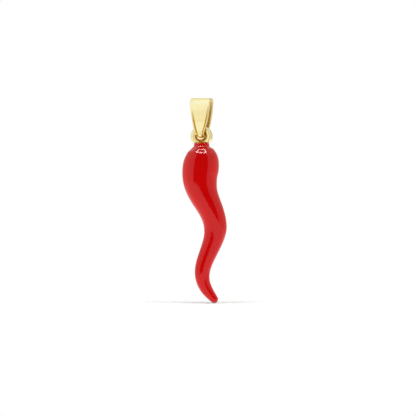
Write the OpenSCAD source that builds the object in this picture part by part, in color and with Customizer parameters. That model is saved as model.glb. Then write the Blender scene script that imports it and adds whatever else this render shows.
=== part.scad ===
// Horn charm with a folded bail: an enamelled gold horn that hangs by its loop from a tapered band.
// +Z is up, +X runs along the chain and the front faces -Y. The origin is where the chain bears, inside the bail's crest.

/* [Bail] */
// Height of the bail over all
bail_h = 6.3; // [5.8:0.1:8]
// Width of the band over the crest
bail_w = 2.95; // [2.4:0.05:4]
// Thickness of the band
bail_t = 0.5; // [0.4:0.05:0.6]
// Greatest depth of the folded band, front to back
bail_depth = 2.4; // [2.2:0.1:3.2]

/* [Loop] */
// Outside diameter of the loop
loop_d = 3.32; // [3.1:0.02:3.8]
// Thickness of the loop's round wire
loop_wire = 0.92; // [0.8:0.02:1]
// Metal left under the loop's hole where it is filed flat to be soldered on
foot_t = 0.22; // [0.18:0.02:0.3]

/* [Horn] */
// Length of the horn from its rim to the end of its tip
horn_len = 24; // [18:0.5:32]
// Thickness of the horn at its bulb
horn_d = 5.5; // [4.5:0.1:7]
// How far the lower bend leaves the line of hanging
horn_sway = 2; // [1:0.1:3]
// Thickness of the neck under the loop
neck_d = 2.3; // [2.1:0.05:2.6]
// Height of the neck's straight part
neck_h = 0.4; // [0.2:0.05:1]
// Radius of the round end of the tip
nose_r = 0.6; // [0.5:0.02:0.8]
// Thickness of the enamel
coat_t = 0.3; // [0.2:0.02:0.36]

/* [Fits] */
// Clearance between the loop's wire and the plates of the bail, which lets the horn swing
wire_gap = 0.2; // [0.16:0.01:0.24]
// Clearance between the tip of the bail and the hole of the loop
tip_gap = 0.12; // [0.1:0.01:0.16]
// Clearance between the enamel and the gold under it
coat_gap = 0.04; // [0.02:0.01:0.08]

/* [Hidden] */

// Heights, from the crest down
crest_z = bail_t;
bail_end_z = crest_z - bail_h;
hole_r = loop_d / 2 - loop_wire;
tip_r = hole_r - tip_gap;
// The hole's centre hangs this far under the centre of the bail's round tip
tip_rise = 0.07;
loop_z = bail_end_z + tip_r - tip_rise;
loop_r = (loop_d - loop_wire) / 2;
hinge_z = loop_z + loop_r;
foot_z = loop_z - hole_r - foot_t;
rim_z = foot_z - coat_gap;

// Half depths of the bail, outside: at the belly, beside the wire, and where the plates meet
belly_half = bail_depth / 2;
seat_half = loop_wire / 2 + wire_gap + bail_t;
tip_half = bail_t;

// The bail from the side, as shares: of the way from crest to wire, of the way from wire to end, then how much of the
// belly's, the seat's and the tip's half depth there is at that height
SIDE_ROWS = [
  // above, below, belly, seat, tip
  [0.000, 0.00, 0.00, 0.00, 0.00],
  [0.015, 0.00, 0.48, 0.00, 0.00],
  [0.040, 0.00, 0.69, 0.00, 0.00],
  [0.080, 0.00, 0.82, 0.00, 0.00],
  [0.160, 0.00, 0.91, 0.00, 0.00],
  [0.300, 0.00, 0.96, 0.00, 0.00],
  [0.580, 0.00, 1.00, 0.00, 0.00],
  [0.820, 0.00, 0.60, 0.44, 0.00],
  [1.000, 0.00, 0.10, 0.92, 0.00],
  [1.000, 0.20, 0.00, 1.01, 0.00],
  [1.000, 0.42, 0.00, 0.98, 0.02],
  [1.000, 0.56, 0.00, 0.80, 0.20],
  [1.000, 0.66, 0.00, 0.42, 0.60],
  [1.000, 0.76, 0.00, 0.04, 0.96],
  [1.000, 0.88, 0.00, 0.00, 0.94],
  [1.000, 1.00, 0.00, 0.00, 0.80],
];

// The bail from the front: share of its height down to the round tip, then how much of the crest's and of the tip's half
// width there is
FRONT_ROWS = [
  // down, crest, tip
  [0.00, 1.00, 0.00],
  [0.20, 0.985, 0.00],
  [0.40, 0.90, 0.00],
  [0.60, 0.64, 0.34],
  [0.80, 0.32, 0.74],
  [1.00, 0.00, 1.00],
];

// The horn: share of its length under the neck, how far its middle is to the side as a share of horn_sway, then how much
// of the neck's, the bulb's and the nose's radius it has
HORN_ROWS = [
  // down, side, neck, bulb, nose
  [0.000, 0.00, 1.00, 0.00, 0.00],
  [0.006, 0.00, 0.94, 0.06, 0.00],
  [0.015, 0.00, 0.76, 0.24, 0.00],
  [0.028, 0.01, 0.55, 0.45, 0.00],
  [0.042, 0.01, 0.38, 0.62, 0.00],
  [0.060, 0.01, 0.24, 0.76, 0.00],
  [0.085, 0.00, 0.11, 0.89, 0.00],
  [0.110, -0.03, 0.04, 0.96, 0.00],
  [0.145, -0.08, 0.00, 1.00, 0.00],
  [0.190, -0.12, 0.00, 0.97, 0.00],
  [0.250, -0.04, 0.00, 0.90, 0.00],
  [0.320, 0.22, 0.00, 0.79, 0.00],
  [0.400, 0.69, 0.00, 0.70, 0.00],
  [0.470, 0.96, 0.00, 0.65, 0.00],
  [0.530, 1.02, 0.00, 0.62, 0.00],
  [0.600, 0.86, 0.00, 0.55, 0.00],
  [0.680, 0.50, 0.00, 0.49, 0.00],
  [0.750, 0.19, 0.00, 0.45, 0.00],
  [0.810, 0.07, 0.00, 0.41, 0.00],
  [0.870, 0.14, 0.00, 0.37, 0.00],
  [0.925, 0.45, 0.00, 0.32, 0.00],
  [0.978, 0.97, 0.00, 0.00, 1.00],
];

// A smooth curve through points of any dimension: cubic pieces whose slopes follow the spacing of the points
function gap_between(p, i) = norm(p[i + 1] - p[i]);
function run(p, i) = (p[i + 1] - p[i]) / gap_between(p, i);
function lean(p, i) =
  i == 0 ? run(p, 0) :
  i == len(p) - 1 ? run(p, i - 1) :
  (run(p, i - 1) * gap_between(p, i) + run(p, i) * gap_between(p, i - 1)) / (gap_between(p, i - 1) + gap_between(p, i));
function piece(p, i, t) =
  let (h = gap_between(p, i), u = 1 - t)
  u * u * (1 + 2 * t) * p[i] + t * t * (1 + 2 * u) * p[i + 1] + h * t * u * (u * lean(p, i) - t * lean(p, i + 1));
function smooth(p, steps) = concat(
  [for (i = [0 : len(p) - 2], k = [0 : steps - 1]) piece(p, i, k / steps)],
  [p[len(p) - 1]]);

// Pieces between one row and the next of the bail's outlines
outline_steps = 4;

// The bail's outline from the side: the half on +Y, then the whole of it round the crest
side_half = [for (row = SIDE_ROWS)
  [row[2] * belly_half + row[3] * seat_half + row[4] * tip_half,
   crest_z - row[0] * (crest_z - hinge_z) - row[1] * (hinge_z - bail_end_z)]];
function other_half(p) = [for (i = [len(p) - 1 : -1 : 1]) [-p[i][0], p[i][1]]];
side_outline = smooth(concat(other_half(side_half), side_half), outline_steps);
side_mid = (len(side_outline) - 1) / 2;

// The space inside the band: the outline moved in by the band's thickness, as far as the plates' meeting, without the
// points that a tight bend brings nearer to the outline than that thickness
function inward(p, i) = let (d = p[i + 1] - p[i - 1]) [d[1], -d[0]] / norm(d);
function nearest(q, p) = min([for (v = p) norm(v - q)]);
near_share = 0.999;
side_opening = [for (i = [1 : len(side_outline) - 2])
  let (q = side_outline[i] + bail_t * inward(side_outline, i))
  if (i == side_mid || (q[0] * (i - side_mid) > 0 && nearest(q, side_outline) > near_share * bail_t)) q];

// The bail's outline from the front: down one edge, then round the tip from where the edge leans as the arc does
tip_lean = 16;
tip_step = 10;
tip_z = bail_end_z + tip_r;
front_half = [for (row = FRONT_ROWS)
  [row[1] * bail_w / 2 + row[2] * tip_r * cos(tip_lean),
   crest_z - row[0] * (crest_z - tip_z - tip_r * sin(tip_lean))]];
front_edge = concat(
  smooth(front_half, outline_steps),
  [for (a = [tip_lean - tip_step : -tip_step : tip_step - 90]) [tip_r * cos(a), tip_z + tip_r * sin(a)]],
  [[0, bail_end_z]]);
front_outline = concat(
  [for (i = [len(front_edge) - 2 : -1 : 0]) [-front_edge[i][0], front_edge[i][1]]],
  front_edge);

module bail() {
  color("gold")
    intersection() {
      rotate([90, 0, 0])
        linear_extrude(height = 2 * bail_depth, center = true)
          polygon(front_outline);
      rotate([90, 0, 90])
        linear_extrude(height = 2 * bail_w, center = true)
          difference() {
            polygon(side_outline);
            polygon(side_opening);
          }
    }
}

// The horn's sections as [side, height, radius]
horn_run = horn_len - neck_h;
horn_points = concat(
  [[0, rim_z, neck_d / 2]],
  [for (row = HORN_ROWS)
    [row[1] * horn_sway,
     rim_z - neck_h - row[0] * horn_run,
     row[2] * neck_d / 2 + row[3] * horn_d / 2 + row[4] * nose_r]]);

// Direction of the horn's middle at a section, from its neighbours
function flat(p) = [p[0], p[1]];
function heading(p, i) =
  i == 0 ? [0, -1] :
  let (d = flat(p[min(i + 1, len(p) - 1)]) - flat(p[i - 1])) d / norm(d);

// The rounded nose starts with the slope that the taper ends with
nose_lead = 12;
nose_steps = 6;
// Sections of the horn's surface, or of a surface that lies inset under it, as [side, height, radius, heading]
function sections(inset, steps) =
  let (p = smooth(horn_points, steps),
       last = len(p) - 1,
       way = heading(p, last),
       full_r = nose_r / cos(nose_lead),
       centre = flat(p[last]) - way * full_r * sin(nose_lead))
  concat(
    [for (i = [0 : last - 1]) [p[i][0], p[i][1], p[i][2] - inset, heading(p, i)]],
    [for (k = [0 : nose_steps - 1])
      let (a = nose_lead + k * (90 - nose_lead) / nose_steps,
           c = centre + way * (full_r - inset) * sin(a))
      [c[0], c[1], (full_r - inset) * cos(a), way]]);
function nose_end(inset, steps) =
  let (p = smooth(horn_points, steps),
       last = len(p) - 1,
       way = heading(p, last),
       full_r = nose_r / cos(nose_lead),
       c = flat(p[last]) + way * (full_r - inset - full_r * sin(nose_lead)))
  [c[0], 0, c[1]];

// The points round each section, and the triangles between the rings
function ring_points(list, sides) = [for (s = list, k = [0 : sides - 1])
  let (a = 360 * k / sides, across = [-s[3][1], s[3][0]] * s[2] * cos(a))
  [s[0] + across[0], s[2] * sin(a), s[1] + across[1]]];
function wall_faces(rings, sides, first) = [for (i = [0 : rings - 2], k = [0 : sides - 1])
  let (a = first + i * sides + k, b = first + i * sides + (k + 1) % sides)
  each [[a, b, a + sides], [b, b + sides, a + sides]]];
function nose_faces(rings, sides, first) = [for (k = [0 : sides - 1])
  [first + (rings - 1) * sides + k, first + (rings - 1) * sides + (k + 1) % sides, first + rings * sides]];
function turned(faces) = [for (f = faces) [f[0], f[2], f[1]]];

// Sides and steps of the gold's and the enamel's surfaces, and of the loop
core_sides = 24;
core_steps = 1;
coat_sides = 48;
coat_steps = 2;
loop_sides = 72;
wire_sides = 32;

// The pad of solder: its width as a share of the gold's top, and how far it bites into the loop and into the gold
pad_share = 0.9;
pad_bite = 0.1;

module core_and_loop() {
  inset = coat_t + coat_gap;
  list = sections(inset, core_steps);
  color("gold") {
    polyhedron(
      points = concat(ring_points(list, core_sides), [nose_end(inset, core_steps)]),
      faces = concat(
        [[for (k = [core_sides - 1 : -1 : 0]) k]],
        wall_faces(len(list), core_sides, 0),
        nose_faces(len(list), core_sides, 0)));
    translate([0, 0, rim_z - pad_bite])
      cylinder(h = foot_z - rim_z + 2 * pad_bite, r = pad_share * (neck_d / 2 - inset), $fn = loop_sides);
    // The loop, filed flat at its foot
    difference() {
      translate([0, 0, loop_z])
        rotate([90, 0, 0])
          rotate_extrude($fn = loop_sides)
            translate([loop_r, 0])
              circle(d = loop_wire, $fn = wire_sides);
      translate([-loop_d, -loop_d, foot_z - 2 * loop_d])
        cube(2 * loop_d);
    }
  }
}

module enamel() {
  out = sections(0, coat_steps);
  inside = sections(coat_t, core_steps);
  first = len(out) * coat_sides + 1;
  color("red")
    polyhedron(
      points = concat(
        ring_points(out, coat_sides), [nose_end(0, coat_steps)],
        ring_points(inside, core_sides), [nose_end(coat_t, core_steps)]),
      faces = concat(
        wall_faces(len(out), coat_sides, 0),
        nose_faces(len(out), coat_sides, 0),
        turned(wall_faces(len(inside), core_sides, first)),
        turned(nose_faces(len(inside), core_sides, first)),
        // The rim: each side of the inner ring meets two of the outer
        [for (k = [0 : core_sides - 1])
          let (a = first + k, b = first + (k + 1) % core_sides, o = 2 * k, p = (2 * k + 2) % coat_sides)
          each [[a, o + 1, o], [a, b, o + 1], [b, p, o + 1]]]));
}

bail();
core_and_loop();
enamel();
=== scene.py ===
from math import cos, pi, radians, sin, tan

import bmesh
import bpy
from mathutils import Matrix, Vector


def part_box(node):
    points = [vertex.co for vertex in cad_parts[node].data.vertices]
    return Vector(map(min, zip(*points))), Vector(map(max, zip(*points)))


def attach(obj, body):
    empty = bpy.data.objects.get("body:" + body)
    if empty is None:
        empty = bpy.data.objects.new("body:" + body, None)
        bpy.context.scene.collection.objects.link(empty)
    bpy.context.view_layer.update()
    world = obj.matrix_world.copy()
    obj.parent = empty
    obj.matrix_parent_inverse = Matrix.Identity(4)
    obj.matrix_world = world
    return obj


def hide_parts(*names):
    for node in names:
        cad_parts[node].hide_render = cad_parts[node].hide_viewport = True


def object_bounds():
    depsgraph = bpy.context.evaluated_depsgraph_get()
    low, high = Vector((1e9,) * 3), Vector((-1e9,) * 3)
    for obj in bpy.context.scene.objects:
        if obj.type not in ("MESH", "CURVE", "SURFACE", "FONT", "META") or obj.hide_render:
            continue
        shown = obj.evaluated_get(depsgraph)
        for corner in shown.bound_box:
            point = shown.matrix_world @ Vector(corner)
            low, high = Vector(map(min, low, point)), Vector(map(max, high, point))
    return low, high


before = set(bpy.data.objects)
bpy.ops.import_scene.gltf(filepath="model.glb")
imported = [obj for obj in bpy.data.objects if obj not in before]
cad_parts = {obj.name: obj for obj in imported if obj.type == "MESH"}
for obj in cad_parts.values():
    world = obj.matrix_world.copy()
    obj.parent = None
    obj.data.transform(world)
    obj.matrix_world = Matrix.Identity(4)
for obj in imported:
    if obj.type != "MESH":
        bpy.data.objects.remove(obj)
cad_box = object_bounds()
mm = 0.001

# Camera. It stands level with the middle of the pendant, a little round to its right, so that the bail shows
# its front and a strip of its side. The lens is long, so the pendant hardly narrows with distance.
photo_side = 416
photo_pixel = 0.15 * mm
yaw = radians(20)
eye_height = -15.98 * mm
eye_aside = 0.96 * mm
to_camera = Vector((sin(yaw), -cos(yaw), 0))
to_right = Vector((cos(yaw), sin(yaw), 0))
camera_data = bpy.data.cameras.new("camera")
camera_data.lens = 250
camera_data.sensor_width = 36
camera_distance = photo_side * photo_pixel * camera_data.lens / camera_data.sensor_width
camera_data.clip_start = 0.01
camera_data.clip_end = 10
camera = bpy.data.objects.new("camera", camera_data)
camera.location = to_camera * camera_distance + to_right * eye_aside + Vector((0, 0, eye_height))
camera.rotation_euler = (pi / 2, 0, yaw)
bpy.context.scene.collection.objects.link(camera)
bpy.context.scene.camera = camera
bpy.context.scene.view_settings.view_transform = "Standard"

# Studio table. A round white table just under the tip of the horn, which catches the faint shadow that the
# photograph shows there.
table_gap = 0.02 * mm
table_radius = 42 * mm
table_top = cad_box[0].z - table_gap
table_white = bpy.data.materials.new("table_white")
table_white.use_nodes = True
table_shader = table_white.node_tree.nodes["Principled BSDF"]
table_shader.inputs["Base Color"].default_value = (0.25, 0.25, 0.25, 1)
table_shader.inputs["Roughness"].default_value = 0.9
table_shader.inputs["Specular IOR Level"].default_value = 0


def stage_object(name, mesh_maker, material):
    """An object of the studio, made by a function that fills a bmesh."""
    shape = bmesh.new()
    mesh_maker(shape)
    mesh = bpy.data.meshes.new(name)
    shape.to_mesh(mesh)
    shape.free()
    mesh.materials.append(material)
    made = bpy.data.objects.new(name, mesh)
    bpy.context.scene.collection.objects.link(made)
    return made


def table_disc(shape):
    """Fills the bmesh with the table's round top."""
    bmesh.ops.create_circle(
        shape, cap_ends=True, segments=96, radius=table_radius, matrix=Matrix.Translation((0, 0, table_top)))


table = stage_object("table", table_disc, table_white)
table.visible_glossy = False

# Studio light. The pendant stands in a light tent that is open to the front, where the camera looks in, with
# white walls to either side, a duller back, a white roof and a white floor. The tent is the world. A camera
# ray sees plain white.
tent = bpy.data.worlds.new("light_tent")
tent.use_nodes = True
bpy.context.scene.world = tent
tent_nodes, tent_links = tent.node_tree.nodes, tent.node_tree.links
tent_way = tent_nodes.new("ShaderNodeTexCoord")
tent_opening = (0.045, 0.040, 0.030, 1)
tent_wall_left = (0.90, 0.90, 0.88, 1)
tent_wall_right = (0.78, 0.77, 0.75, 1)
tent_back = (0.62, 0.58, 0.50, 1)
tent_roof = (0.93, 0.93, 0.92, 1)
tent_back_roof = (0.88, 0.87, 0.84, 1)
tent_floor = (1.05, 1.05, 1.03, 1)

# Where each part of the tent starts and where it is full, in degrees: to the left or right of the camera for
# the walls and the back, and above or below the level for the rest. The upper part of the walls is as light
# as the roof, and the upper part of the back nearly so
left_wall_edge = (42.0, 48.0)
right_wall_edge = (42.0, 51.0)
back_edge = (100.0, 135.0)
roof_edge = (52.0, 60.0)
upper_edge = (30.0, 40.0)
floor_edge = (8.0, 12.0)


def tent_math(operation, first, second=None):
    """One Math node of the tent, fed by sockets or numbers."""
    node = tent_nodes.new("ShaderNodeMath")
    node.operation = operation
    for place, given in enumerate((first, second)):
        if isinstance(given, (int, float)):
            node.inputs[place].default_value = given
        elif given is not None:
            tent_links.new(given, node.inputs[place])
    return node.outputs["Value"]


def tent_step(value, edge):
    """0 before the edge's start, 1 past its end, and smooth between them."""
    node = tent_nodes.new("ShaderNodeMapRange")
    node.interpolation_type = "SMOOTHSTEP"
    node.inputs["From Min"].default_value, node.inputs["From Max"].default_value = edge
    tent_links.new(value, node.inputs["Value"])
    return node.outputs["Result"]


def tent_part(base, colour, share):
    """The base with a colour laid over it by a share."""
    node = tent_nodes.new("ShaderNodeMix")
    node.data_type = "RGBA"
    tent_links.new(share, node.inputs["Factor"])
    if isinstance(base, tuple):
        node.inputs["A"].default_value = base
    else:
        tent_links.new(base, node.inputs["A"])
    node.inputs["B"].default_value = colour
    return node.outputs["Result"]


def tent_dot(direction):
    """How far a ray goes along a direction."""
    node = tent_nodes.new("ShaderNodeVectorMath")
    node.operation = "DOT_PRODUCT"
    node.inputs[1].default_value = direction
    tent_links.new(tent_way.outputs["Generated"], node.inputs[0])
    return node.outputs["Value"]


in_degrees = 180 / pi
ray_aside = tent_math(
    "MULTIPLY", tent_math("ARCTAN2", tent_dot(to_right), tent_dot(to_camera)), in_degrees)
ray_raised = tent_math("MULTIPLY", tent_math("ARCSINE", tent_dot((0, 0, 1))), in_degrees)
left_wall = tent_step(tent_math("MULTIPLY", ray_aside, -1), left_wall_edge)
right_wall = tent_step(ray_aside, right_wall_edge)
behind = tent_step(tent_math("ABSOLUTE", ray_aside), back_edge)
roof = tent_step(ray_raised, roof_edge)
upper = tent_step(ray_raised, upper_edge)
floor = tent_step(tent_math("MULTIPLY", ray_raised, -1), floor_edge)
walls = tent_math("MAXIMUM", left_wall, right_wall)
seen = tent_part(tent_opening, tent_wall_left, left_wall)
seen = tent_part(seen, tent_wall_right, right_wall)
seen = tent_part(seen, tent_back, behind)
seen = tent_part(seen, tent_roof, tent_math("MAXIMUM", roof, tent_math("MULTIPLY", upper, walls)))
seen = tent_part(seen, tent_back_roof, tent_math("MULTIPLY", upper, behind))
seen = tent_part(seen, tent_floor, floor)
tent_lit = tent_nodes.new("ShaderNodeBackground")
tent_links.new(seen, tent_lit.inputs["Color"])
tent_seen = tent_nodes["Background"]
tent_seen.inputs["Color"].default_value = (1, 1, 1, 1)
tent_path = tent_nodes.new("ShaderNodeLightPath")
tent_choice = tent_nodes.new("ShaderNodeMixShader")
tent_links.new(tent_path.outputs["Is Camera Ray"], tent_choice.inputs["Fac"])
tent_links.new(tent_lit.outputs["Background"], tent_choice.inputs[1])
tent_links.new(tent_seen.outputs["Background"], tent_choice.inputs[2])
tent_links.new(tent_choice.outputs["Shader"], tent_nodes["World Output"].inputs["Surface"])

# Oval lamp. A long oval tube lamp hangs in the roof of the tent, a little toward the camera, and draws the
# small oval highlight on the horn's shoulder. It is see-through, so the gold, which its light leaves out,
# reflects no dark ring.
lamp_strength = 11
lamp_target = Vector((0, 0, -8 * mm))
lamp_distance = 120 * mm
lamp_lean = radians(14.5)
lamp_lean_aside = radians(-3.5)
lamp_half_length = 58 * mm
lamp_half_width = 29 * mm
lamp_tube = 7 * mm
lamp_turn = radians(-18)
lamp_glow = bpy.data.materials.new("lamp_glow")
lamp_glow.use_nodes = True
glow_nodes, glow_links = lamp_glow.node_tree.nodes, lamp_glow.node_tree.links
glow_nodes.remove(glow_nodes["Principled BSDF"])
glow = glow_nodes.new("ShaderNodeEmission")
glow.inputs["Strength"].default_value = lamp_strength
see_through = glow_nodes.new("ShaderNodeBsdfTransparent")
glow_and_through = glow_nodes.new("ShaderNodeAddShader")
glow_links.new(glow.outputs["Emission"], glow_and_through.inputs[0])
glow_links.new(see_through.outputs["BSDF"], glow_and_through.inputs[1])
glow_links.new(glow_and_through.outputs["Shader"], glow_nodes["Material Output"].inputs["Surface"])


def oval_tube(shape):
    """Fills the bmesh with the lamp: a ring of tube, pressed to an oval, hung up and turned to the target."""
    section = bmesh.ops.create_circle(
        shape, segments=8, radius=lamp_tube,
        matrix=Matrix.Translation((lamp_half_length, 0, 0)) @ Matrix.Rotation(pi / 2, 4, "X"))
    bmesh.ops.spin(
        shape, geom=section["verts"] + list({e for v in section["verts"] for e in v.link_edges}),
        cent=(0, 0, 0), axis=(0, 0, 1), angle=2 * pi, steps=64, use_merge=True)
    for v in shape.verts:
        v.co.y -= (lamp_half_length - lamp_half_width) * v.co.y / Vector(v.co[:2]).length
    leaning = Vector((0, 0, 1)) + to_camera * tan(lamp_lean) + to_right * tan(lamp_lean_aside)
    upward = leaning.normalized()
    sideways = (to_right - upward * to_right.dot(upward)).normalized()
    lamp_axes = Matrix((sideways, upward.cross(sideways), upward)).transposed().to_4x4()
    bmesh.ops.transform(
        shape, matrix=Matrix.Translation(lamp_target + upward * lamp_distance) @ lamp_axes
        @ Matrix.Rotation(lamp_turn, 4, "Z"), verts=shape.verts)


lamp = stage_object("oval_lamp", oval_tube, lamp_glow)
lamp.visible_camera = False
lamp.visible_diffuse = False
lit_enamel = bpy.data.collections.new("lit_enamel")
lamp.light_linking.receiver_collection = lit_enamel

# Cards. Four cards stand round the camera for the gold alone: three for the bail's face, its shoulder and its
# crest, and a wide one for its side and the loop. A fifth, behind the pendant, brightens the top of the
# enamel alone. Each fills a range of azimuths from the camera and a range of heights, both in degrees.
lit_gold = bpy.data.collections.new("lit_gold")
card_target = Vector((0, 0, -3 * mm))
card_distance = 300 * mm
card_white = (1, 1, 1)
card_warm = (1, 1, 0.97)
card_cool = (1, 1.02, 1.12)
card_blue = (1, 1.12, 1.40)


def card(name, azimuths, elevations, strength, colour, lit):
    """An area light that fills its ranges with one colour, for the pieces of one collection."""
    azimuth, elevation = radians(sum(azimuths) / 2), radians(sum(elevations) / 2)
    level = to_camera * cos(azimuth) + to_right * sin(azimuth)
    direction = level * cos(elevation) + Vector((0, 0, sin(elevation)))
    light = bpy.data.lights.new(name, "AREA")
    light.shape = "RECTANGLE"
    light.size = 2 * card_distance * cos(elevation) * tan(radians(azimuths[1] - azimuths[0]) / 2)
    light.size_y = 2 * card_distance * tan(radians(elevations[1] - elevations[0]) / 2)
    light.energy = strength * pi * light.size * light.size_y
    light.color = colour
    made = bpy.data.objects.new(name, light)
    made.location = card_target + direction * card_distance
    made.rotation_euler = direction.to_track_quat("Z", "Y").to_euler()
    made.visible_camera = False
    made.light_linking.receiver_collection = lit
    bpy.context.scene.collection.objects.link(made)
    return made


card("face_card", (-45, -31), (-9, 6), 0.86, card_warm, lit_gold)
card("shoulder_card", (-45, -31), (6, 14), 0.93, card_cool, lit_gold)
card("crest_card", (-45, -31), (14, 56), 0.93, card_blue, lit_gold)
card("side_card", (-31, 44), (-9, 54), 0.74, card_warm, lit_gold)
card("back_card", (135, 225), (32, 60), 0.40, card_white, lit_enamel)

# Fill. A soft lamp over the camera brightens the enamel's red alone, without a reflection of its own.
fill = card("enamel_fill", (-25, 25), (0, 40), 0.65, card_white, lit_enamel)
fill.visible_glossy = False

# Table light. One more lamp over the pendant lights the table alone, a little from the front, so that the
# pendant's soft shadow lies on the table round and behind the tip.
lit_table = bpy.data.collections.new("lit_table")
lit_table.objects.link(table)
card("table_lamp", (-60, 60), (53, 93), 23, card_white, lit_table)

# Bail. One band of 18 carat gold sheet, cut to a taper with round ends, folded over a rod so that its ends
# meet, and soldered there under the loop. Its outer edges are rounded over and the outside is polished. The
# front half is shaped first and then mirrored, with its side profile and widths from the frame's own bail.
bail_tip_radius = 0.62 * mm
tip_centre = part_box("bail")[0].z + bail_tip_radius
shoulder_height = -0.5 * mm
knee_height = -4.2 * mm

# Points nearer than a weld become one. A point within a hair of a plane counts as lying on it. A step of a
# path is never taken as shorter than no_length
weld = 0.0005 * mm
band_weld = 0.0008 * mm
hair = 1e-7
fine_hair = 1e-8
no_length = 1e-12

# The gold: its palest and deepest tone, the span of the unevenness between them, how rough and how uneven its
# polish is, and the shade painted as a darker amber, less shiny gold in the grooves and inside the bail
gold_pale = (1.0, 0.885, 0.48, 1)
gold_deep = (0.98, 0.84, 0.42, 1)
gold_tone_range = (0.35, 0.65)
gold_roughness = (0.07, 0.17)
gold_relief = 0.0025 * mm
painted_shade_tint = (0.62, 0.33, 0.004, 1)
groove_roughness = 0.45
satin_roughness = 0.8

# Unevenness of a polished surface, slow and fast, as one share for the tone and one height
surface_play = bpy.data.node_groups.new("surface_play", "ShaderNodeTree")
for socket_name, socket_way, socket_kind in (
        ("Vector", "INPUT", "NodeSocketVector"), ("Stretch", "INPUT", "NodeSocketVector"),
        ("Coarse", "INPUT", "NodeSocketFloat"), ("Fine", "INPUT", "NodeSocketFloat"),
        ("Tone", "OUTPUT", "NodeSocketFloat"), ("Height", "OUTPUT", "NodeSocketFloat")):
    surface_play.interface.new_socket(socket_name, in_out=socket_way, socket_type=socket_kind)
play_nodes, play_links = surface_play.nodes, surface_play.links
play_in = play_nodes.new("NodeGroupInput")
play_out = play_nodes.new("NodeGroupOutput")
play_place = play_nodes.new("ShaderNodeMapping")
play_slow = play_nodes.new("ShaderNodeTexNoise")
play_slow.inputs["Detail"].default_value = 2
play_fast = play_nodes.new("ShaderNodeTexNoise")
play_fast.inputs["Detail"].default_value = 4
play_both = play_nodes.new("ShaderNodeMix")
play_both.inputs["Factor"].default_value = 0.3
play_links.new(play_in.outputs["Vector"], play_place.inputs["Vector"])
play_links.new(play_in.outputs["Stretch"], play_place.inputs["Scale"])
for noise, grain, mixed_as in ((play_slow, "Coarse", "A"), (play_fast, "Fine", "B")):
    play_links.new(play_place.outputs["Vector"], noise.inputs["Vector"])
    play_links.new(play_in.outputs[grain], noise.inputs["Scale"])
    play_links.new(noise.outputs["Fac"], play_both.inputs[mixed_as])
play_links.new(play_slow.outputs["Fac"], play_out.inputs["Tone"])
play_links.new(play_both.outputs["Result"], play_out.inputs["Height"])


def add_play(nodes, links, stretch, coarse, fine):
    """Places the unevenness in a material, on the piece's own coordinates."""
    where = nodes.new("ShaderNodeTexCoord")
    play = nodes.new("ShaderNodeGroup")
    play.node_tree = surface_play
    play.inputs["Stretch"].default_value = stretch
    play.inputs["Coarse"].default_value = coarse
    play.inputs["Fine"].default_value = fine
    links.new(where.outputs["Object"], play.inputs["Vector"])
    return play


# Yellow 18 carat gold, buffed along its length. The pieces' attribute of painted shade says where shade is
# painted on as a darker amber gold that is less shiny, and "inside" where it is left satin
gold = bpy.data.materials.new("gold_polished")
gold.use_nodes = True
gold_nodes, gold_links = gold.node_tree.nodes, gold.node_tree.links
gold_shader = gold_nodes["Principled BSDF"]
gold_shader.inputs["Metallic"].default_value = 1
gold_play = add_play(gold_nodes, gold_links, stretch=(1, 1, 0.16), coarse=900, fine=5200)
gold_spread = gold_nodes.new("ShaderNodeMapRange")
gold_spread.inputs["From Min"].default_value, gold_spread.inputs["From Max"].default_value = gold_tone_range
gold_tone = gold_nodes.new("ShaderNodeMix")
gold_tone.data_type = "RGBA"
gold_tone.inputs["A"].default_value = gold_deep
gold_tone.inputs["B"].default_value = gold_pale
# Painted shade: a darker amber is laid over the gold's tone where the pieces' attribute says so
gold_painted_shade = gold_nodes.new("ShaderNodeAttribute")
gold_painted_shade.attribute_name = "painted_shade"
gold_tone_and_shade = gold_nodes.new("ShaderNodeMix")
gold_tone_and_shade.data_type = "RGBA"
gold_tone_and_shade.inputs["B"].default_value = painted_shade_tint
gold_gloss = gold_nodes.new("ShaderNodeMapRange")
gold_gloss.inputs["To Min"].default_value, gold_gloss.inputs["To Max"].default_value = gold_roughness
gold_matt = gold_nodes.new("ShaderNodeMix")
gold_matt.inputs["B"].default_value = groove_roughness
gold_inside = gold_nodes.new("ShaderNodeAttribute")
gold_inside.attribute_name = "inside"
gold_satin = gold_nodes.new("ShaderNodeMix")
gold_satin.inputs["B"].default_value = satin_roughness
gold_bump = gold_nodes.new("ShaderNodeBump")
gold_bump.inputs["Distance"].default_value = gold_relief
gold_links.new(gold_play.outputs["Tone"], gold_spread.inputs["Value"])
gold_links.new(gold_spread.outputs["Result"], gold_tone.inputs["Factor"])
gold_links.new(gold_tone.outputs["Result"], gold_tone_and_shade.inputs["A"])
gold_links.new(gold_painted_shade.outputs["Fac"], gold_tone_and_shade.inputs["Factor"])
gold_links.new(gold_tone_and_shade.outputs["Result"], gold_shader.inputs["Base Color"])
gold_links.new(gold_play.outputs["Height"], gold_gloss.inputs["Value"])
gold_links.new(gold_gloss.outputs["Result"], gold_matt.inputs["A"])
gold_links.new(gold_painted_shade.outputs["Fac"], gold_matt.inputs["Factor"])
gold_links.new(gold_matt.outputs["Result"], gold_satin.inputs["A"])
gold_links.new(gold_inside.outputs["Fac"], gold_satin.inputs["Factor"])
gold_links.new(gold_satin.outputs["Result"], gold_shader.inputs["Roughness"])
gold_links.new(gold_play.outputs["Height"], gold_bump.inputs["Height"])
gold_links.new(gold_bump.outputs["Normal"], gold_shader.inputs["Normal"])


def all_of(shape):
    """Every vertex, edge and face of a bmesh."""
    return shape.verts[:] + shape.edges[:] + shape.faces[:]


def merged_copy(node):
    """The frame's mesh of a node as a bmesh, with its loose triangles joined."""
    shape = bmesh.new()
    shape.from_mesh(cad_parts[node].data)
    bmesh.ops.remove_doubles(shape, verts=shape.verts, dist=weld)
    return shape


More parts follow.
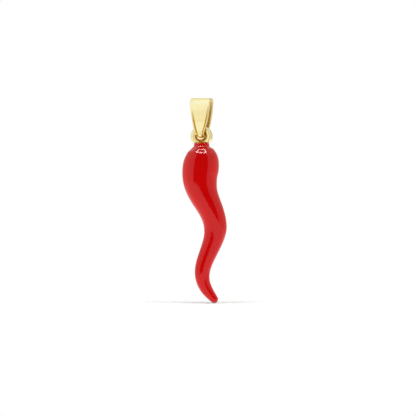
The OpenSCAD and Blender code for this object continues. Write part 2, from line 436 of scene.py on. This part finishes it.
def slice_of(shape, place, normal):
    """The line along which a plane cuts the shape, as a bmesh of its own."""
    cut = shape.copy()
    bmesh.ops.bisect_plane(
        cut, geom=all_of(cut), dist=fine_hair, plane_co=place, plane_no=normal, clear_inner=True,
        clear_outer=True)
    return cut


def finished_piece(name, shape, material, rounds):
    """A piece of the pendant made from a bmesh, with its surface rounded by a Subdivision Surface."""
    mesh = bpy.data.meshes.new(name)
    shape.to_mesh(mesh)
    shape.free()
    for face in mesh.polygons:
        face.use_smooth = True
    mesh.materials.append(material)
    piece = bpy.data.objects.new(name, mesh)
    bpy.context.scene.collection.objects.link(piece)
    rounding = piece.modifiers.new("rounding", "SUBSURF")
    rounding.levels = rounds
    rounding.render_levels = rounds
    return piece


def walk_down(start):
    """The points (y, z) of a cut's line from a vertex at its top, down its front side."""
    path = [start]
    step = min((e.other_vert(start) for e in start.link_edges), key=lambda v: v.co.y)
    while step.co.y <= hair:
        path.append(step)
        onward = [e.other_vert(step) for e in step.link_edges if e.other_vert(step) not in path]
        if not onward:
            break
        step = onward[0]
    return [Vector((v.co.y, v.co.z)) for v in path]


def lengths_along(path):
    """How far along a path each of its points lies."""
    sums = [0.0]
    for one, other in zip(path, path[1:]):
        sums.append(sums[-1] + (other - one).length)
    return sums


def point_along(path, sums, distance):
    """The point of a path at a distance from its start."""
    for i in range(1, len(path)):
        if distance <= sums[i] or i == len(path) - 1:
            share = (distance - sums[i - 1]) / max(sums[i] - sums[i - 1], no_length)
            return path[i - 1].lerp(path[i], min(max(share, 0), 1))


def distance_at(path, sums, height):
    """How far along a path it first comes down to a height."""
    for i in range(1, len(path)):
        if path[i].y <= height:
            share = (path[i - 1].y - height) / max(path[i - 1].y - path[i].y, no_length)
            return sums[i - 1] + share * (sums[i] - sums[i - 1])
    return sums[-1]


# The side profile of the frame's bail: its outer and its inner line, from the crest down the front, and where
# the crest, the shoulder, the knee and the tip lie on both. inside_crest is a height between the two lines at
# the crest, and highest_cut is just under its top
inside_crest = 0.3 * mm
highest_cut = 0.48 * mm
bail_cad = merged_copy("bail")
middle_cut = slice_of(bail_cad, (0, 0, 0), (1, 0, 0))
on_axis = [v for v in middle_cut.verts if abs(v.co.y) < hair]
outer_path = walk_down(max(on_axis, key=lambda v: v.co.z))
inner_path = walk_down(max((v for v in on_axis if v.co.z < inside_crest), key=lambda v: v.co.z))
inner_path += [Vector((0, inner_path[-1].y)), Vector((0, outer_path[-1].y))]
middle_cut.free()
outer_sums, inner_sums = lengths_along(outer_path), lengths_along(inner_path)
marks = [(0, 0)]
for height in (shoulder_height, knee_height):
    marks.append((distance_at(outer_path, outer_sums, height), distance_at(inner_path, inner_sums, height)))
marks.append((outer_sums[-1], inner_sums[-1]))


def through_band(distance):
    """The band's outer and inner point at a distance from the crest along its outer face."""
    for (outer_a, inner_a), (outer_b, inner_b) in zip(marks, marks[1:]):
        if distance <= outer_b or outer_b == outer_sums[-1]:
            share = (distance - outer_a) / (outer_b - outer_a)
            inner = point_along(inner_path, inner_sums, inner_a + share * (inner_b - inner_a))
            return point_along(outer_path, outer_sums, distance), inner


def half_width(height):
    """Half the bail's width at a height, measured on the frame's bail, at most just under its top."""
    cut = slice_of(bail_cad, (0, 0, min(height, highest_cut)), (0, 0, 1))
    widest = max(v.co.x for v in cut.verts)
    cut.free()
    return widest


# The outline's points: how far aside, how far along, how far along the middle line their partner lies, and
# how far round the tip they have come
crest_rows = 14
face_rows = 14
taper_rows = 12
tip_rows = 9
shoulder_along, knee_along = marks[1][0], marks[2][0]
tip_along = distance_at(outer_path, outer_sums, tip_centre)
outline = []
for start, end, rows in (
        (0, shoulder_along, crest_rows), (shoulder_along, knee_along, face_rows),
        (knee_along, tip_along, taper_rows)):
    for row in range(rows):
        along = start + (end - start) * row / rows
        outline.append((half_width(point_along(outer_path, outer_sums, along).y), along, along, 0.0))
for row in range(tip_rows + 1):
    turn = pi / 2 * row / tip_rows
    along = distance_at(outer_path, outer_sums, tip_centre - bail_tip_radius * sin(turn))
    outline.append((bail_tip_radius * cos(turn), along, tip_along, sin(turn) ** 2))
outline += [(-aside, along, partner, low) for aside, along, partner, low in reversed(outline[:-1])]
bail_cad.free()

# The front plate's face runs on almost straight past the wire, and stands proud of the tongue below
run_on_height = -4.8 * mm
run_on_lean = 0.03
run_on_depth = point_along(outer_path, outer_sums, distance_at(outer_path, outer_sums, run_on_height)).x


def run_on(height):
    """How far forward the face lies at a height under the wire, if it runs on."""
    return run_on_depth + run_on_lean * (run_on_height - height)


def ramp(value, start, end):
    """0 at the start, 1 at the end, and straight between them."""
    return min(max((value - start) / (end - start), 0), 1)


# Across the band, from the middle of its outer face over the edge to the middle of its inner face. The
# columns are the share of the way from the border line to the middle, the distance from the edge in mm, the
# share of the border's extra width at the tip, the depth under that face in mm, which thickens the plate
# where it is less than 0, how much the point follows the run-on face, how much shade is painted on it as a
# darker gold, and the face or line that it is on
crossing = [
    (1.00, 0.30, 1, 0.0, 1, 0, "outer"),
    (0.60, 0.30, 1, 0.0, 1, 0, "outer"),
    (0.25, 0.30, 1, 0.0, 1, 0, "outer"),
    (0.00, 0.30, 1, 0.0, 1, 0, "outer"),
    # The border line is a real shallow groove, and the darkness given to it is painted shade
    (0.00, 0.27, 1, 0.004, 1, 0.8, "line"),
    (0.00, 0.225, 1, 0.035, 0.9, 1, "line"),
    (0.00, 0.185, 1, 0.05, 0.5, 1, "line"),
    (0.00, 0.145, 1, 0.035, 0.1, 1, "line"),
    (0.00, 0.11, 1, 0.004, 0, 0.8, "line"),
    (0.00, 0.045, 0.6, 0.0, 0, 0, "outer"),
    (0.00, 0.03, 0.1, 0.004, 0, 0, "outer"),
    (0.00, 0.012, 0, 0.020, 0, 0, "outer"),
    (0.00, 0.0, 0, 0.055, 0, 0, "outer"),
    (0.00, 0.0, 0, 0.15, 0, 0, "outer"),
    # Inside the bail, the darkness given to the faces is painted shade
    (0.00, 0.0, 0, -0.05, 0, 0, "inner"),
    (0.00, 0.0, 0, -0.10, 0, 0.1, "inner"),
    (0.00, 0.015, 0, -0.11, 0, 0.2, "inner"),
    (0.00, 0.05, 0, -0.12, 0, 0.6, "inner"),
    (0.00, 0.15, 0, -0.12, 0, 0.6, "inner"),
    (0.40, 0.15, 0, -0.12, 0, 0.6, "inner"),
    (1.00, 0.15, 0, -0.12, 0, 0.6, "inner")]

# The border line stands a little further in on the left edge of the front and further out on the right one.
# Both shifts leave out the rounding of the edge, and end at the tip, where the border is wider. No point that
# is measured from the edge goes further in than a set share of the way to the middle
border_at_tip = 0.30 * mm
shift_in_left = 0.15 * mm
shift_out_right = 0.07 * mm
edge_rounding = 0.06 * mm
furthest_in = 0.9

# Heights from which and to which a thing grows to its full size: the border line on the right and the left,
# the plate's extra thickness from below and from above, and the shade painted inside as a darker gold
line_right = (-0.6 * mm, -2.4 * mm)
line_left = (-1.3 * mm, -2.9 * mm)
thick_from_below = (-3.5 * mm, -2.7 * mm)
thick_from_above = (0.1 * mm, -0.8 * mm)
painted_shade_inside = (-0.4 * mm, -1.5 * mm)

# Above the loop the bail is a little wider and less deep than the frame's
above_loop = (-4.4 * mm, -3.2 * mm)
wider_above_loop = 0.045
flatter_above_loop = 0.14

# Beside the loop the cut edge is left almost as satin as the inside
satin_edge_top = -3.6 * mm
satin_edge = 0.8

band = bmesh.new()
for attribute in ("painted_shade", "inside"):
    band.verts.layers.float.new(attribute)
band_painted_shade = band.verts.layers.float["painted_shade"]
band_inside = band.verts.layers.float["inside"]
last_along, last_across = len(outline) - 1, len(crossing) - 1
bmesh.ops.create_grid(band, x_segments=last_along, y_segments=last_across, size=1)
for v in band.verts:
    aside, along, partner, low = outline[round((v.co.x + 1) / 2 * last_along)]
    share, inset, widen, depth, runs_on, shade_painted, side = crossing[round((v.co.y + 1) / 2 * last_across)]
    reach = Vector((-aside, partner - along))
    inset = inset * mm + widen * border_at_tip * low
    if inset > edge_rounding and side != "inner":
        inset += (shift_in_left if aside < 0 else -shift_out_right) * (1 - low)
    inset = min(inset, furthest_in * reach.length)
    inset += share * (reach.length - inset)
    spot = Vector((aside, along)) + reach * (inset / reach.length)
    outer, inner = through_band(spot.y)
    height = outer.y
    inward = (inner - outer).normalized()
    if side == "inner":
        if depth < 0:
            depth *= ramp(height, *thick_from_below) * ramp(height, *thick_from_above)
        shade_painted *= ramp(height, *painted_shade_inside)
        place = inner - inward * depth * mm
    else:
        if side == "line":
            fade = ramp(height, *(line_right if aside > 0 else line_left))
            depth, shade_painted = depth * fade, shade_painted * fade
        place = outer + inward * depth * mm
        if height < run_on_height:
            place.x += runs_on * min(run_on(height) - outer.x, 0)
    growth = ramp(height, *above_loop)
    wide = spot.x * (1 + wider_above_loop * growth)
    deep = min(place.x, 0) * (1 - flatter_above_loop * growth)
    v.co = Vector((wide, deep, place.y))
    # How much shade is painted on this point as a darker gold
    v[band_painted_shade] = shade_painted
    v[band_inside] = 1.0 if side == "inner" else 0.0
    if inset == 0 and height < satin_edge_top:
        v[band_inside] = satin_edge
bmesh.ops.remove_doubles(band, verts=band.verts, dist=band_weld)
seam = [f for f in band.faces if all(abs(v.co.y) < fine_hair for v in f.verts)]
bmesh.ops.delete(band, geom=seam, context="FACES")
bmesh.ops.mirror(band, geom=all_of(band), axis="Y", merge_dist=band_weld)
bmesh.ops.recalc_face_normals(band, faces=band.faces)
bail = finished_piece("bail_band", band, gold, rounds=2)
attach(bail, "bail")
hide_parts("bail")
lit_gold.objects.link(bail)

# Loop and core. A ring of gold wire, soldered with its foot flat on the end of the gold core, which the
# enamel hides. The ring passes through the bail, and the solder fills the corner under its foot. The wire is
# squarer on the outside of the ring than on its inside.
ring_height = -5.25 * mm
wire_middle_radius = 1.2 * mm
wire_radius = 0.46 * mm
outer_squareness = 5
inner_squareness = 2.2
foot_height = -6.21 * mm
cut_above_foot = 0.17 * mm
pad_radius = 0.729 * mm
pad_bottom = -6.35 * mm
core_under_pad = 0.02 * mm

# How far in from the middle of the wire, in wire radii, the shade painted on the ring's inside as a darker
# gold starts and is full
painted_shade_right = (0.25, 0.50)
painted_shade_left = (0.50, 0.65)

# Solder fills the bottom of the ring's hole, more so the further down a spoke points
seat_thickening = 0.155 * mm
seat_spread = (0.1, 0.7)

# The ring's foot, in steps from the cut through the ring down to the pad: the share of the last step's width
# that is kept, the share of its depth, how far the rim turns into the round pad, and the height in mm
foot_steps = [
    (0.985, 0.985, 0, -6.08),
    (0.975, 0.975, 0, -6.12),
    (0.965, 0.965, 0, -6.16),
    (0.95, 0.93, 0, -6.195),
    (0.93, 0.90, 0, -6.22),
    (1, 1, 0.75, -6.228),
    (1, 1, 1, -6.24),
    (1, 1, 1, -6.35)]

# The horn sways a little in depth too, as its reflections in the photograph show: height, and how far back,
# both in mm. The core sways inside its coat
depth_sway = [
    (-6.0, 0.00), (-8.0, 0.02), (-9.2, 0.03), (-10.2, 0.00), (-11.3, -0.11), (-12.4, -0.18),
    (-14.0, -0.21), (-15.4, -0.04), (-17.0, 0.19), (-18.8, 0.49), (-19.7, 0.51), (-21.2, 0.35),
    (-23.0, 0.13), (-25.0, -0.10), (-26.2, -0.15), (-27.6, 0.05), (-29.0, 0.29), (-30.5, 0.45)]


def sway_back(height):
    """How far back the horn's middle lies at a height, on a smooth curve through the points above."""
    spots = [Vector((z * mm, y * mm)) for z, y in depth_sway]
    for i in range(1, len(spots)):
        if height >= spots[i].x or i == len(spots) - 1:
            one, other = spots[i - 1], spots[i]
            before, after = spots[max(i - 2, 0)], spots[min(i + 1, len(spots) - 1)]
            share = ramp(height, one.x, other.x)
            squared, cubed = share ** 2, share ** 3
            rise_one = (other.y - before.y) / (other.x - before.x) * (other.x - one.x)
            rise_other = (after.y - one.y) / (after.x - one.x) * (other.x - one.x)
            return ((2 * cubed - 3 * squared + 1) * one.y + (cubed - 2 * squared + share) * rise_one
                    + (3 * squared - 2 * cubed) * other.y + (cubed - squared) * rise_other)


def open_edges(shape):
    """The edges of a bmesh that only one face holds."""
    return [e for e in shape.edges if len(e.link_faces) == 1]


def made_parts(made, kind):
    """The vertices or edges among what an operator has made."""
    return [part for part in made["geom"] if isinstance(part, kind)]


loop = bmesh.new()
loop_painted_shade = loop.verts.layers.float.new("painted_shade")
wire_section = bmesh.ops.create_circle(loop, segments=28, radius=1)["verts"]
for v in wire_section:
    power = outer_squareness if v.co.x > 0 else inner_squareness
    v.co *= wire_radius / (abs(v.co.x) ** power + abs(v.co.y) ** power) ** (1 / power)
    v.co += Vector((wire_middle_radius, 0, ring_height))
bmesh.ops.spin(
    loop, geom=all_of(loop), cent=(0, 0, ring_height), axis=(0, 1, 0), angle=2 * pi, steps=64, use_merge=True)
bmesh.ops.remove_doubles(loop, verts=loop.verts, dist=weld)
bmesh.ops.recalc_face_normals(loop, faces=loop.faces)
for v in loop.verts:
    spoke = Vector((v.co.x, v.co.z - ring_height))
    inward = (wire_middle_radius - spoke.length) / wire_radius
    # Painted shade: the inside of the ring is painted a darker gold
    v[loop_painted_shade] = ramp(inward, *(painted_shade_right if v.co.x > 0 else painted_shade_left))
    downward = ramp(-spoke.y / spoke.length, *seat_spread)
    spoke *= 1 - seat_thickening * downward * max(inward, 0) / spoke.length
    v.co.x, v.co.z = spoke.x, spoke.y + ring_height
bmesh.ops.bisect_plane(
    loop, geom=all_of(loop), dist=hair, plane_co=(0, 0, foot_height + cut_above_foot), plane_no=(0, 0, -1),
    clear_outer=True)
for keep_width, keep_depth, roundness, height in foot_steps:
    foot_ring = bmesh.ops.extrude_edge_only(loop, edges=open_edges(loop))
    for v in made_parts(foot_ring, bmesh.types.BMVert):
        flat = Vector((v.co.x * keep_width, v.co.y * keep_depth))
        flat = flat.lerp(flat.normalized() * pad_radius, roundness)
        v.co = Vector((flat.x, flat.y, height * mm))
core = merged_copy("core_and_loop")
bmesh.ops.bisect_plane(
    core, geom=all_of(core), dist=hair, plane_co=(0, 0, pad_bottom - core_under_pad), plane_no=(0, 0, 1),
    clear_outer=True)
core_mesh = bpy.data.meshes.new("core_shape")
core.to_mesh(core_mesh)
core.free()
loop.from_mesh(core_mesh)
bpy.data.meshes.remove(core_mesh)
bmesh.ops.bridge_loops(loop, edges=open_edges(loop))
bmesh.ops.recalc_face_normals(loop, faces=loop.faces)
for v in loop.verts:
    v.co.y += sway_back(v.co.z)
loop_and_core = finished_piece("loop_and_core", loop, gold, rounds=1)
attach(loop_and_core, "horn")
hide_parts("core_and_loop")
lit_gold.objects.link(loop_and_core)

# Horn. Red vitreous enamel, fired all round over the gold core in one smooth glossy coat, and rounded over
# where it ends at the neck. It takes its shape from the frame's own coat, and sways in depth with the core.
enamel_deep = (0.72, 0.0011, 0.0018, 1)
enamel_pale = (0.79, 0.0016, 0.0026, 1)
enamel_ior = 1.38
enamel_roughness = (0.035, 0.06)
enamel_relief = 0.003 * mm
between_rims = 1.0 * mm
outer_lip = 0.12 * mm
outer_lip_steps = 5
inner_lip = 0.03 * mm
red = bpy.data.materials.new("enamel_red")
red.use_nodes = True
red_nodes, red_links = red.node_tree.nodes, red.node_tree.links
red_shader = red_nodes["Principled BSDF"]
red_shader.inputs["IOR"].default_value = enamel_ior
red_play = add_play(red_nodes, red_links, stretch=(1, 1, 1), coarse=260, fine=1500)
red_tone = red_nodes.new("ShaderNodeMix")
red_tone.data_type = "RGBA"
red_tone.inputs["A"].default_value = enamel_deep
red_tone.inputs["B"].default_value = enamel_pale
red_gloss = red_nodes.new("ShaderNodeMapRange")
red_gloss.inputs["To Min"].default_value, red_gloss.inputs["To Max"].default_value = enamel_roughness
red_bump = red_nodes.new("ShaderNodeBump")
red_bump.inputs["Distance"].default_value = enamel_relief
red_links.new(red_play.outputs["Tone"], red_tone.inputs["Factor"])
red_links.new(red_tone.outputs["Result"], red_shader.inputs["Base Color"])
red_links.new(red_play.outputs["Height"], red_gloss.inputs["Value"])
red_links.new(red_gloss.outputs["Result"], red_shader.inputs["Roughness"])
red_links.new(red_play.outputs["Height"], red_bump.inputs["Height"])
red_links.new(red_bump.outputs["Normal"], red_shader.inputs["Normal"])
coat = merged_copy("enamel")
rim_height = max(v.co.z for v in coat.verts)
rim_faces = [f for f in coat.faces if all(v.co.z > rim_height - hair for v in f.verts)]
bmesh.ops.delete(coat, geom=rim_faces, context="FACES")
bmesh.ops.join_triangles(
    coat, faces=coat.faces[:], angle_face_threshold=pi, angle_shape_threshold=pi, cmp_seam=False,
    cmp_sharp=False, cmp_uvs=False, cmp_vcols=False, cmp_materials=False)
outer_rim = [e for e in open_edges(coat) if Vector(e.verts[0].co[:2]).length > between_rims]
inner_rim = [e for e in open_edges(coat) if e not in outer_rim]
rim_radius = max(Vector(e.verts[0].co[:2]).length for e in outer_rim)
for v in {v for e in outer_rim for v in e.verts}:
    v.co.z = rim_height - outer_lip
lip_edges = outer_rim
for step in range(1, outer_lip_steps + 1):
    turn = pi / 2 * step / outer_lip_steps
    lip_ring = bmesh.ops.extrude_edge_only(coat, edges=lip_edges)
    lip_edges = made_parts(lip_ring, bmesh.types.BMEdge)
    for v in made_parts(lip_ring, bmesh.types.BMVert):
        round_spot = Vector(v.co[:2]).normalized() * (rim_radius - outer_lip * (1 - cos(turn)))
        v.co = Vector((*round_spot, rim_height - outer_lip + outer_lip * sin(turn)))
for v in {v for e in inner_rim for v in e.verts}:
    v.co.z = rim_height - inner_lip
bmesh.ops.bridge_loops(coat, edges=lip_edges + inner_rim)
bmesh.ops.recalc_face_normals(coat, faces=coat.faces)
for v in coat.verts:
    v.co.y += sway_back(v.co.z)
enamel = finished_piece("enamel_coat", coat, red, rounds=1)
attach(enamel, "horn")
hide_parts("enamel")
lit_enamel.objects.link(enamel)
